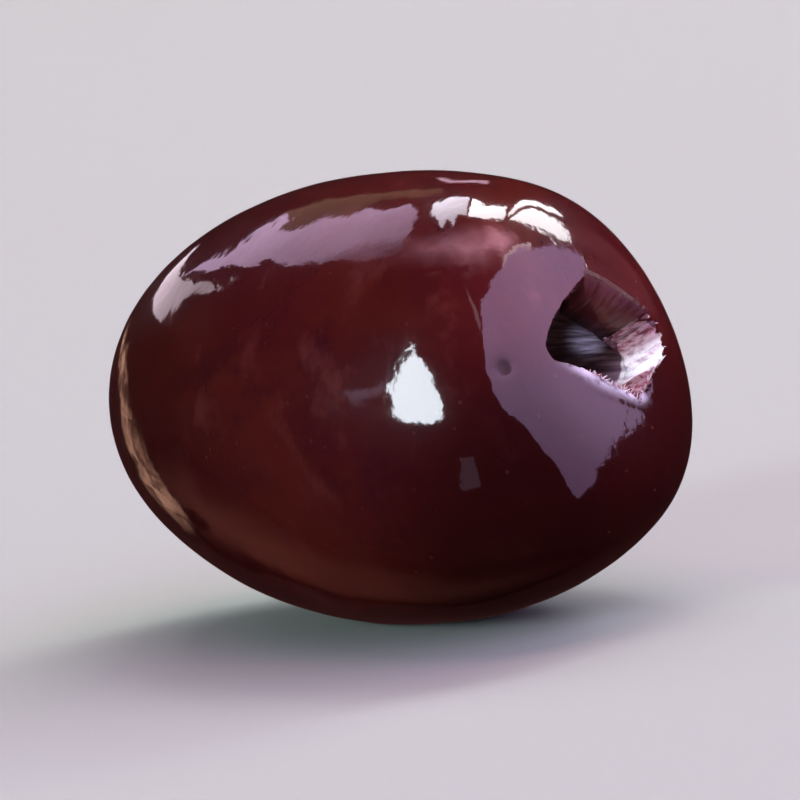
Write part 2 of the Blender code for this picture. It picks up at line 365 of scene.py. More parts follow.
def skinPoints(theta):
    # the outside from the stone hole to the star cut: the core line plus the skin's radius, with the lip and
    # the fold raised, the flaps pushed in, dents, fine unevenness and pits
    turn, azimuth, step = skinTurns(theta)
    x = fruit["coreHalf"] * np.cos(turn)
    ahead, aside, above = coreAxes(x)
    radius = skinRadius(turn, azimuth)
    outward = around(azimuth, aside, above)
    points = corePoint(x) + radius[..., None] * outward
    offRim = np.where(x > 0.0, radius - rimRadius(azimuth, 0.0), 1.0)  # the tip half counts as 1 m off
    lipHigh, lipMiddle, lipWidth = stoneHole["lipRaise"]
    lipAway, lipBand = stoneHole["lipBand"]
    foldHigh, foldReach = stoneHole["foldRaise"]
    raised = lipHigh * bumpAt(azimuth, lipMiddle, lipWidth) * bell((offRim / mm - lipAway) / lipBand)
    raised = raised + foldHigh * foldShare(azimuth) * bell(offRim / foldReach)
    points = points + raised[..., None] * ahead
    nearStar = bell(radius / (starCut["dimpleReach"] * starCut["arm"])) * (x < 0.0)
    points[..., 0] += starCut["dimple"] * nearStar
    (dentDepth, dentLength, dentSeed), (fineDepth, fineLength, fineSeed) = fruit["dents"], fruit["uneven"]
    relief = dentDepth * ripples(points, dentLength, dentSeed)
    relief = relief + fineDepth * ripples(points * fruit["unevenStretch"], fineLength, fineSeed)
    offRimFade, offStarFade = fruit["reliefFade"]
    fade = eased(offRim / offRimFade) * eased((1.0 - step) / offStarFade)
    points, pitted = pressPits(points + (relief * fade)[..., None] * outward, outward)
    return points, azimuth, offRim, pitted


def lipPoints(rim, theta):
    # from the foot of the torn wall up to the rim: a quarter of an ellipse from the skin's edge, then a wall
    # that leans in, with fibres along it that stand out as ridges and tips
    ahead, aside, above = mouthAxes
    inward = -around(theta, aside, above)
    fold, torn, swollen = foldShare(theta), tornShare(theta), bumpAt(theta, *stoneHole["lipRaise"][1:])
    roundIn, roundDown = (mm * (least + atFold * fold + atLip * swollen)
                          for least, atFold, atLip in (stoneHole["roundIn"], stoneHole["roundDown"]))
    height = stoneHole["wall"] + stoneHole["wallMore"] * torn + roundDown
    share = np.linspace(1.0, 0.0, stoneHole["lipRings"] + 1)[:-1, None]
    roundShare = stoneHole["roundShare"]
    bend = np.clip(share / roundShare, 0.0, 1.0) * math.pi / 2.0
    down = np.clip((share - roundShare) / (1.0 - roundShare), 0.0, 1.0)
    depth = roundDown * (1.0 - np.cos(bend)) + (height - roundDown) * down
    inset = roundIn * np.sin(bend) + stoneHole["wallLean"] * depth * torn
    fibre = sum(np.sin(waves * theta + 2.0 * np.sin(waves) + lean * down)
                for waves, lean in stoneHole["fibres"]) / 2.5
    fade = np.sin(math.pi * np.clip(share * 1.05, 0.0, 1.0)) ** 0.6  # none at the rim and at the wall's foot
    ridges = stoneHole["fibreHeight"] * (stoneHole["fibreLeast"] + torn) * fibre * fade
    tips = sum(np.sin(waves * theta + waves) for waves in stoneHole["tipWaves"]) / 2.0
    place, width = stoneHole["tipBand"]
    tips = stoneHole["tipHeight"] * torn * np.maximum(tips, 0.0) ** 2 * bell((share - place) / width)
    return rim + (tips - depth)[..., None] * ahead + (inset + ridges)[..., None] * inward


def starPoints(rim):  # the faces of the flaps: the star's outline, moved straight in by growing depths
    depths = np.linspace(0.0, 1.0, starCut["rings"] + 1)[1:] ** starCut["flapPower"]
    depths = depths * starCut["thickness"] * starCut["flapShare"]
    return np.stack([rim + np.array((depth, 0.0, 0.0)) for depth in depths])


def bezier(share, corners):  # the point and direction of a cubic curve with four corners
    t = share[..., None]
    a, b, c, d = corners
    point = a * (1 - t) ** 3 + 3 * b * t * (1 - t) ** 2 + 3 * c * t**2 * (1 - t) + d * t**3
    slope = 3 * (b - a) * (1 - t) ** 2 + 6 * (c - b) * t * (1 - t) + 3 * (d - c) * t**2
    return point, unit(slope)


def hollowPoints(theta, throat):
    # rings round a curved line, from the star's outline to the torn one: a radius that changes evenly, plus a
    # power of a sine, as the stone was thickest in the middle, plus lengthwise ridges that wander
    mouth = throat.mean(axis=0)
    endAxes = np.stack(mouthAxes)
    tip = np.array((hollow["tipX"], 0.0, 0.0))
    corners = (tip, tip + hollow["straight"] * fruit["coreHalf"] * unit(mouth - tip),
               mouth - stoneHole["throatTurn"] * endAxes[0], mouth)
    share = np.linspace(0.0, 1.0, hollow["rings"] + 1)[:-1]
    centre, along = bezier(share, corners)
    aside = unit(np.cross((0.0, 0.0, 1.0), along))
    above = np.cross(along, aside)
    share = share[:, None]
    azimuth = crowded(theta, starCut["crowd"] * (1.0 - eased(share / hollow["crowdShare"])))
    ends = hollow["tipRadius"] + (stoneHole["throatRadius"] - hollow["tipRadius"]) * share
    middle = hollow["radius"] - (hollow["tipRadius"] + stoneHole["throatRadius"]) / 2.0
    bulge = middle * np.sin(math.pi * share) ** hollow["bulgePower"]
    star = 1.0 - eased(share / hollow["starShare"])
    ridges = np.sin(9.0 * azimuth + 1.5 * np.sin(5.0 * share)) + 0.6 * np.sin(16.0 * azimuth - 3.0 * share)
    ridges = -hollow["ridge"] * ridges * np.sin(math.pi * share)
    radius = ends + bulge + (starRadius(azimuth) - ends) * star + ridges
    roundRing = radius[..., None] * around(azimuth, aside[:, None], above[:, None])
    tornRing = (throat - mouth) @ endAxes.T @ np.stack([along, aside, above], axis=1)
    torn = after(share, *hollow["tornOver"])[..., None]
    return centre[:, None] + roundRing * (1.0 - torn) + tornRing * torn, azimuth


masks = {
    "fleshPower": 0.5,  # how the torn wall turns to skin towards the rim
    "foldHides": 0.85,  # how much of the flesh the rolled skin hides
    "flapDeep": 0.5,
    "wallDeep": 0.4,
    "throatOver": (0.8, 0.2),  # where along the hollow it becomes as shallow as the wall: start and reach
    "fleshFrom": 0.35,  # from which share of flesh it has the torn flesh's material
    "rolledFrom": 0.3,  # from which share of fold it has the rolled skin's, and how far out over the skin
    "rolledReach": 0.30 * mm,
}


def paintFruit(piece, theta, azimuths, counts, offRim, pitted):
    # masks: flesh is 0 on skin and 1 inside, deep grows to 1 far in, pale is 1 at torn flesh, one marks the
    # palest flesh, where a highlight is painted on it, edge is on the skin's pale torn edge, painted on as a
    # highlight along the lower lip, and grain runs along the fibres
    skinEnd, flapEnd, insideEnd, total = np.cumsum(counts)
    every = np.ones((total, len(theta)))
    upWall = np.linspace(1.0, 0.0, total - insideEnd)[:, None]
    folded = foldShare(theta) * (1.0 - tornShare(theta)) * every
    flesh = every.copy()
    flesh[:skinEnd] = 0.0
    flesh[insideEnd:] = upWall ** masks["fleshPower"] * (1.0 - masks["foldHides"] * folded[insideEnd:])
    inHollow = np.linspace(0.0, 1.0, insideEnd - flapEnd)[:, None]
    deep = np.zeros_like(every)
    deep[skinEnd:flapEnd] = masks["flapDeep"]
    deep[flapEnd:insideEnd] = 1.0 - (1.0 - masks["wallDeep"]) * after(inHollow, *masks["throatOver"])
    deep[insideEnd:] = masks["wallDeep"] * upWall
    edge, pit = np.zeros_like(every), np.zeros_like(every)
    # painted highlight along the lower lip: the skin's pale torn edge, and the lip's rounded edge beyond it
    edge[:skinEnd] = bell(offRim / stoneHole["edgeHighlightReach"])
    edge[insideEnd:] = 1.0
    pit[:skinEnd] = pitted
    step = np.linspace(0.0, 1.0, total)[:, None] * every
    giveAttributes(piece, edge=edge * between(azimuths, *stoneHole["edge"]),
                   white=between(theta, *stoneHole["white"]) * every, pit=pit, flesh=flesh, deep=deep,
                   pale=tornShare(theta) * every, grain=dots(np.cos(azimuths), np.sin(azimuths), step))
    # the material of each point: 0 for skin, 1 for torn flesh, 2 for rolled skin
    kinds = np.where(flesh > masks["fleshFrom"], 1, 0)
    rolled = folded > masks["rolledFrom"]
    rolled[:skinEnd] &= offRim < masks["rolledReach"]
    rolled[skinEnd:insideEnd] = False
    kinds[rolled] = 2
    return kinds.ravel()


def makeFruit():
    # the four grids end to end, pressed flat underneath, with the box set on the middle of the CAD's
    theta = fullCircle(fruit["segments"])
    skin, skinAzimuth, offRim, pitted = skinPoints(theta)
    flaps = starPoints(skin[-1])
    lip = lipPoints(skin[0], theta)
    inside, insideAzimuth = hollowPoints(theta, lip[0])
    points = np.concatenate([skin, flaps, inside, lip])
    # the belly is pressed flat on what it lies on: z is held above the floor by a rounded maximum
    floorZ = skin[..., 2].min() + fruit["restCut"]
    edge = fruit["restEdge"]
    points[..., 2] = floorZ + edge * np.logaddexp(0.0, (points[..., 2] - floorZ) / edge)
    low, high = points.reshape(-1, 3).min(axis=0), points.reshape(-1, 3).max(axis=0)
    move = np.array([(a + b) / 2.0 for a, b in zip(cadLow, cadHigh)]) - (low + high) / 2.0
    move[2] = -floorZ
    points = points + move
    print("fruit", points.shape, "box in mm", ((high - low) / mm).round(2).tolist())
    piece = meshObject("olive_fruit", points.reshape(-1, 3), gridQuads(*points.shape[:2]))
    flapAzimuth = np.broadcast_to(crowded(theta, starCut["crowd"]), flaps.shape[:2])
    lipAzimuth = np.broadcast_to(theta, lip.shape[:2])
    azimuths = np.concatenate([skinAzimuth, flapAzimuth, insideAzimuth, lipAzimuth])
    counts = [len(skin), len(flaps), len(inside), len(lip)]
    return piece, paintFruit(piece, theta, azimuths, counts, offRim, pitted), skin[0] + move


olive, pointKinds, rimPoints = makeFruit()
print("fruit made")


# Torn shreds: thin tapered fibres that stand up from the rim of the stone hole

shreds = {
    # how many, azimuths from and to in degrees, shortest and longest in mm
    "groups": ((34, 214, 268, 0.14, 0.36), (46, 258, 326, 0.24, 0.60), (7, 338, 366, 0.12, 0.28)),
    "seed": 11,
    "root": (0.12, 0.04),  # how far under the rim they start, and inside it, in mm
    # least and most, as shares of the way they stand up: outwards and along the rim
    "lean": (-0.7, -0.1),
    "sway": (-0.5, 0.5),
    "leanOut": 1.2,  # how much further out between these azimuths, and the softness of each end
    "outBetween": (330, 380, 10, 10),
    "curl": (-0.5, 0.5),  # how far the tips bend along the rim, and up from it, in lengths
    "droop": (-0.3, 0.1),
    "thick": (0.035 * mm, 0.085 * mm),
    "flat": 0.5,
    "taper": (1.5, 0.08),  # power of the taper, and what is left at the tip
    "whiteness": (0.0, 0.6),
    "grainStep": 0.37,  # from one shred's fibre pattern to the next
    "rings": 9,
    "sides": 8,
    "ends": ((3, 2, 1, 0), (7, 4, 3, 0), (6, 5, 4, 7)),  # the quads that close eight sides
}


def makeShreds():
    # each is a curve from the rim, a way times the step plus a bend times its square; its oval section tapers
    # as one minus a power of the step
    draw = np.random.default_rng(shreds["seed"])
    ahead, aside, above = mouthAxes
    azimuths, lengths = [], []
    for count, low, high, short, long in shreds["groups"]:
        azimuths.append(np.sort(draw.uniform(low, high, count)))
        lengths.append(draw.uniform(short, long, count) * mm)
    azimuth, length = np.radians(np.concatenate(azimuths)), np.concatenate(lengths)
    many = len(azimuth)

    def each(limits):  # a random number for each shred
        return draw.uniform(*limits, many)[:, None]

    theta = fullCircle(fruit["segments"])
    root = np.stack([np.interp(np.mod(azimuth, fullTurn), theta, line) for line in rimPoints.T], axis=1)
    outward = around(azimuth, aside, above)
    along = np.cross(ahead, outward)
    further = shreds["leanOut"] * between(azimuth, *shreds["outBetween"])[:, None]
    lean = outward * (each(shreds["lean"]) + further)
    straight = unit(ahead + lean + along * each(shreds["sway"]))
    sideways = along * each(shreds["curl"]) + ahead * each(shreds["droop"])
    step = np.linspace(0.0, 1.0, shreds["rings"])[None, :, None]
    under, inside = shreds["root"]
    start = root - ahead * under * mm - outward * inside * mm
    way = straight[:, None] * step + sideways[:, None] * step**2
    centre = start[:, None] + length[:, None, None] * way
    thick = each(shreds["thick"])[..., None, None]
    power, least = shreds["taper"]
    taper = (1.0 - step**power)[..., None] * (1.0 - least) + least
    turn = fullCircle(shreds["sides"])
    first = unit(np.cross(straight, outward))[:, None, None]
    second = np.cross(straight, first[:, 0, 0])[:, None, None]
    section = np.cos(turn)[:, None] * first + shreds["flat"] * np.sin(turn)[:, None] * second
    points = centre[:, :, None] + thick * taper * section
    rings, sides, ends = shreds["rings"], shreds["sides"], np.array(shreds["ends"])
    quads = gridQuads(rings, sides)[:-sides, ::-1]
    quads = np.concatenate([quads, ends, (rings - 1) * sides + ends[:, ::-1]])
    quads = (np.arange(many)[:, None, None] * rings * sides + quads).reshape(-1, 4)
    piece = meshObject("torn_shreds", points.reshape(-1, 3), quads)
    every = np.ones((many, rings * sides))
    grain = dots(np.arange(many)[:, None] * shreds["grainStep"], 0.0, 0.0)
    giveAttributes(piece, flesh=every, deep=0.0 * every, pale=every,
                   white=each(shreds["whiteness"]) * every, grain=grain * every[..., None])
    return piece


shredded = makeShreds()
print("shreds made")


# Materials: a socket with arithmetic

class Wire:
    def __init__(self, tree, socket=None):
        self.tree, self.socket = tree, socket

    def add(self, kind, settings=None, output=0, **values):
        # a new node: its settings, then sockets by name, with underscores for spaces, or by number as in0
        node = self.tree.nodes.new(kind)
        for name, value in (settings or {}).items():
            setattr(node, name, value)
        for name, value in values.items():
            socket = node.inputs[int(name[2:]) if name[:2] == "in" else name.replace("_", " ")]
            if isinstance(value, Wire):
                self.tree.links.new(value.socket, socket)
            else:
                socket.default_value = value
        return Wire(self.tree, node.outputs[output])

    def math(self, operation, other):
        return self.add("ShaderNodeMath", {"operation": operation}, in0=self, in1=other)

    def __add__(self, other):
        return self.math("ADD", other)

    __radd__ = __add__

    def __mul__(self, other):
        return self.math("MULTIPLY", other)

    __rmul__ = __mul__

    def __sub__(self, other):
        return self.math("SUBTRACT", other)

    def __rsub__(self, other):
        return self * -1.0 + other

    def fit(self, low, high, bottom=0.0, top=1.0):  # from low..high to bottom..top, eased and held
        return self.add("ShaderNodeMapRange", {"interpolation_type": "SMOOTHSTEP"},
                        in0=self, in1=low, in2=high, in3=bottom, in4=top)

    def blend(self, colourA, colourB):  # a colour mix with this value as its factor
        return self.add("ShaderNodeMix", {"data_type": "RGBA"}, output=2, in0=self, in6=colourA, in7=colourB)

    def vectorMath(self, operation, other, output=0):
        return self.add("ShaderNodeVectorMath", {"operation": operation}, output, in0=self, in1=other)

    def scaled(self, factors):
        return self.vectorMath("MULTIPLY", factors)

    def dot(self, direction):
        return self.vectorMath("DOT_PRODUCT", direction, 1)

    def noise(self, scale, detail=3.0, roughness=0.55, **more):
        return self.add("ShaderNodeTexNoise", Vector=self, Scale=scale, Detail=detail,
                        Roughness=roughness, **more)

    def attribute(self, name, output=2):
        return self.add("ShaderNodeAttribute", {"attribute_name": name}, output=output)

    def millimetres(self):  # where a point is, in millimetres
        return self.add("ShaderNodeTexCoord", output=3).scaled((1.0 / mm,) * 3)

    def fibres(self, stretch, noise, height):  # a noise that runs along the grain, and its height
        fibres = self.attribute("grain", 1).scaled(stretch).noise(*noise)
        return fibres, fibres * height

    def bumped(self):  # the normal that this height in millimetres gives
        return self.add("ShaderNodeBump", Strength=1.0, Distance=1.0 * mm, Height=self)


def newMaterial(name, constants):  # a new material with these numbers, its shader, and a wire to start from
    material = bpy.data.materials.new(name)
    material.use_nodes = True
    shader = material.node_tree.nodes["Principled BSDF"]
    for socket, value in constants.items():
        shader.inputs[socket].default_value = value
    return material, shader, Wire(material.node_tree)


def plug(shader, **wires):
    for socket, wire in wires.items():
        wire.tree.links.new(wire.socket, shader.inputs[socket.replace("_", " ")])


oliveFinish = {
    "wine": (0.033, 0.0033, 0.0040, 1.0),
    "redBrown": (0.044, 0.0054, 0.0038, 1.0),
    "plum": (0.021, 0.0024, 0.0046, 1.0),
    # painted shade for the skin, a colour that the pits' darkening uses too
    "shadeAndPitDark": (0.010, 0.0012, 0.0012, 1.0),
    "mottle": (0.085, 0.020, 0.018, 1.0),
    # a pale torn edge, with a painted highlight along the lower lip
    "edge": (0.36, 0.36, 0.42, 1.0),
    "pore": (0.10, 0.040, 0.034, 1.0),
    "torn": (0.27, 0.14, 0.18, 1.0),
    "tornDark": (0.15, 0.028, 0.040, 1.0),
    # the palest flesh, painted brighter where a highlight falls on it
    "white": (0.97, 0.93, 0.93, 1.0),
    "whiteDark": (0.62, 0.50, 0.55, 1.0),
    "folded": (0.050, 0.010, 0.009, 1.0),
    # painted reflection: grey-brown patches on the rolled skin
    "foldedPaintedReflection": (0.15, 0.075, 0.06, 1.0),
    # painted shade on the rolled skin deeper in the hole
    "foldedPaintedShade": (0.012, 0.005, 0.004, 1.0),
    "deepFlesh": (0.46, 0.35, 0.28, 1.0),
    "deepDark": (0.11, 0.070, 0.062, 1.0),
}

# Noises: scale per mm, detail and roughness. Ranges: where on them something starts, and where it is full

skinLook = {
    # each over the one before: colour, stretch, noise, distortion, range and strength
    "clouds": (("redBrown", (0.6, 1.0, 1.0), (0.16, 4.0, 0.6), 0.4, (0.42, 0.66), 1.0),
               ("plum", (1.0, 1.0, 1.0), (0.33, 5.0, 0.62), 0.0, (0.52, 0.74), 0.75),
               ("redBrown", (0.10, 1.0, 1.0), (1.6, 3.0, 0.6), 0.0, (0.50, 0.80), 0.35),
               ("mottle", (1.0, 1.0, 0.7), (0.5, 4.0, 0.65), 0.0, (0.52, 0.80), 0.6)),
    # painted shade, under the half with the stone hole and a little towards the tip: direction, range,
    # strength
    "shades": (((1.0, 0.0, -0.8), (1.0, 9.0), 0.74), ((-1.0, 0.0, 0.0), (-4.0, 8.0), 0.64)),
    "pores": (0.9, (0.10, 0.05), 0.2),  # scale, range and strength
    "film": ((1.1, 2.0, 0.5), 0.012),  # waves in the wet film, and their height in mm
    "ripple": ((3.2, 2.0, 0.5), 0.0025),
    # breaks up the painted highlight on the torn edge: noise and range
    "edge": ((2.5, 2.0, 0.5), (0.2, 0.55)),
    "pit": (0.10, 0.75),
    "rough": (0.5, 0.03, 0.045, 0.5),  # patches, how much there, least, and how much in pits
    "coat": (0.4, (0.3, 0.7, 0.04, 0.10)),  # patches, their range, and the least and most
}

fleshLook = {
    "fibres": ((1.0, 1.0, 1.5), (16.0, 4.0, 0.6), 0.12),  # stretch, noise, and height in mm
    # torn, palest with a painted highlight, and deep flesh: from a dark to a light colour over a range of the
    # fibres
    "kinds": (("tornDark", "torn", (0.37, 0.55)), ("whiteDark", "white", (0.35, 0.50)),
              ("deepDark", "deepFlesh", (0.40, 0.65))),
    "skinRange": (0.0, 0.6),  # where flesh takes over from skin
    "lumps": ((4.0, 3.0, 0.6), 0.03),
    "roughness": (0.22, 0.4),  # by the rim and deep inside
    "deepDry": 0.5,  # how much of the wet coat is gone there
}

rolledLook = {
    "fibres": ((1.0, 1.0, 1.5), (9.0, 3.0, 0.6), 0.05),
    "patches": ((0.7, 2.0, 0.5), 0.5, (0.72, 1.0)),  # noise, the fibres' share in it, and range
    # how deep the skin turns to folded, that to the painted shade, and the pale patches of painted reflection
    # come and go
    "folded": (0.0, 0.12),
    "dark": (0.14, 0.34),
    "reflectionIn": (0.0, 0.22),
    "reflectionOut": (0.26, 0.4),
    "rough": (0.8, (0.3, 0.7, 0.28, 0.45)),
}


def skinColour(start, place):
    # deep wine with red-brown and plum clouds, faint lengthwise streaks, mottles, painted shade and pale
    # pores
    colour = oliveFinish["wine"]
    for name, stretch, noise, distortion, (low, high), most in skinLook["clouds"]:
        cloud = place.scaled(stretch).noise(*noise, Distortion=distortion)
        colour = cloud.fit(low, high, 0.0, most).blend(colour, oliveFinish[name])
    # painted shade: the skin is darkened along these directions, where less light falls
    for direction, (low, high), most in skinLook["shades"]:
        shade = place.dot(direction).fit(low, high, 0.0, most)
        colour = shade.blend(colour, oliveFinish["shadeAndPitDark"])
    scale, (low, high), most = skinLook["pores"]
    pores = start.add("ShaderNodeTexVoronoi", Vector=place, Scale=scale, Randomness=1.0)
    return pores.fit(low, high, 0.0, most).blend(colour, oliveFinish["pore"])


def skinMaterial():  # wet skin: a wavy film, dull dark pits, painted shade, and a pale torn edge painted on as a highlight
    material, shader, start = newMaterial("wet olive skin", {
        "IOR": 1.42, "Coat Roughness": 0.30, "Coat IOR": 1.3,
        "Subsurface Weight": 0.12, "Subsurface Radius": (1.0, 0.22, 0.16), "Subsurface Scale": 0.9 * mm,
    })
    place = start.millimetres()
    # painted highlight: the pale torn edge along the lower lip
    edgeHighlightNoise, edgeHighlightRange = skinLook["edge"]
    edge = start.attribute("edge") * place.noise(*edgeHighlightNoise).fit(*edgeHighlightRange)
    colour = edge.blend(skinColour(start, place), oliveFinish["edge"])
    pit = start.attribute("pit").fit(*skinLook["pit"])
    film, ripple = (place.noise(*noise) * height for noise, height in (skinLook["film"], skinLook["ripple"]))
    patches, inPatches, least, inPits = skinLook["rough"]
    coatPatches, coatRange = skinLook["coat"]
    # pits are darker by their depth, in the painted shade's colour
    plug(shader, Base_Color=pit.blend(colour, oliveFinish["shadeAndPitDark"]),
         Roughness=place.noise(patches) * inPatches + least + pit * inPits,
         Coat_Weight=place.noise(coatPatches).fit(*coatRange), Normal=(film + ripple).bumped())
    return material


def fleshMaterial():  # torn flesh: dark and light fibres by how pale and how deep it is, the palest with a painted highlight
    material, shader, start = newMaterial("torn olive flesh", {
        "IOR": 1.5, "Coat Roughness": 0.12, "Coat IOR": 1.45,
        "Subsurface Weight": 0.2, "Subsurface Radius": (1.0, 0.5, 0.4), "Subsurface Scale": 0.5 * mm,
    })
    place = start.millimetres()
    fibres, raised = start.fibres(*fleshLook["fibres"])
    torn, white, inner = (fibres.fit(*limits).blend(oliveFinish[dark], oliveFinish[light])
                          for dark, light, limits in fleshLook["kinds"])
    deep = start.attribute("deep")
    # the palest flesh, painted brighter as a highlight
    colour = start.attribute("white").blend(torn, white)
    colour = start.attribute("pale").blend(oliveFinish["folded"], colour)
    colour = deep.blend(colour, inner)
    flesh = start.attribute("flesh").fit(*fleshLook["skinRange"])
    lumps, lumpHeight = fleshLook["lumps"]
    plug(shader, Base_Color=flesh.blend(skinColour(start, place), colour),
         Roughness=deep.fit(0.0, 1.0, *fleshLook["roughness"]),
         Coat_Weight=1.0 - deep * fleshLook["deepDry"],
         Normal=(raised + place.noise(*lumps) * lumpHeight).bumped())
    return material


def rolledMaterial():  # skin that has rolled into the hole: softer and less glossy, with grey-brown patches of painted reflection and painted shade deeper in
    material, shader, start = newMaterial("rolled olive skin", {
        "IOR": 1.28, "Subsurface Weight": 0.12, "Subsurface Scale": 0.6 * mm,
    })
    place = start.millimetres()
    fibres, raised = start.fibres(*rolledLook["fibres"])
    deep = start.attribute("deep")
    noise, fibreShare, patchRange = rolledLook["patches"]
    patches = (place.noise(*noise) + fibres * fibreShare).fit(*patchRange)
    inward = deep.fit(*rolledLook["reflectionIn"]) * (1.0 - deep.fit(*rolledLook["reflectionOut"]))
    colour = deep.fit(*rolledLook["folded"]).blend(skinColour(start, place), oliveFinish["folded"])
    # painted shade: darker deeper in the hole
    colour = deep.fit(*rolledLook["dark"]).blend(colour, oliveFinish["foldedPaintedShade"])
    roughPatches, roughRange = rolledLook["rough"]
    # painted reflection: grey-brown patches in a band just inside the rim
    plug(shader, Base_Color=(patches * inward).blend(colour, oliveFinish["foldedPaintedReflection"]),
         Roughness=place.noise(roughPatches).fit(*roughRange), Normal=raised.bumped())
    return material


olive.data.materials.append(skinMaterial())
olive.data.materials.append(fleshMaterial())
olive.data.materials.append(rolledMaterial())
faces = gridQuads(len(pointKinds) // fruit["segments"], fruit["segments"])
olive.data.polygons.foreach_set("material_index", pointKinds[faces].min(axis=1).astype(np.int32))
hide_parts("olive")
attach(olive, "root")
shredded.data.materials.append(olive.data.materials[1])
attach(shredded, "root")
print("olive dressed")


# The set: a pale seamless floor, panels of light all round, and two lamps

surroundings = {
    "radius": 1.4, "rise": 0.9, "flatShare": 0.72, "cells": 81,
    "finish": {"Base Color": (0.26, 0.312, 0.27, 1.0), "Roughness": 0.9, "Specular IOR Level": 0.2},
    "room": (0.034, 0.011, 0.011, 1.0),  # the faint light from everywhere
}


def makeFloor():
    # a sheet that curves up at its edge: z is the rise times the cube of how far past the flat part it is
    across = np.linspace(-1.0, 1.0, surroundings["cells"])
    x, y = np.meshgrid(across, across, indexing="ij")
    flat = surroundings["flatShare"]
    past = np.clip((np.hypot(x, y) - flat) / (1.0 - flat), 0.0, 1.0)
    points = dots(surroundings["radius"] * x, surroundings["radius"] * y, surroundings["rise"] * past**3)
    floor = meshObject("floor", points.reshape(-1, 3), gridQuads(len(x), len(x), closed=False))
    floor.data.materials.append(newMaterial("pale floor", surroundings["finish"])[0])
    floor.visible_glossy = False  # so that the wet skin mirrors the panels and not the white all round


panelSet = {
    "aim": Vector((0.0, 0.0, 9.0 * mm)),  # what they stand round, and how far off, in metres
    "distance": 1.2,
    "softEnd": 0.8,  # a soft panel has its full glow from this share on
    "patches": (14.0, 3.0, 0.6),  # noise of a broken one
    "patchFit": (0.40, 0.56, 0.15, 1.0),
}

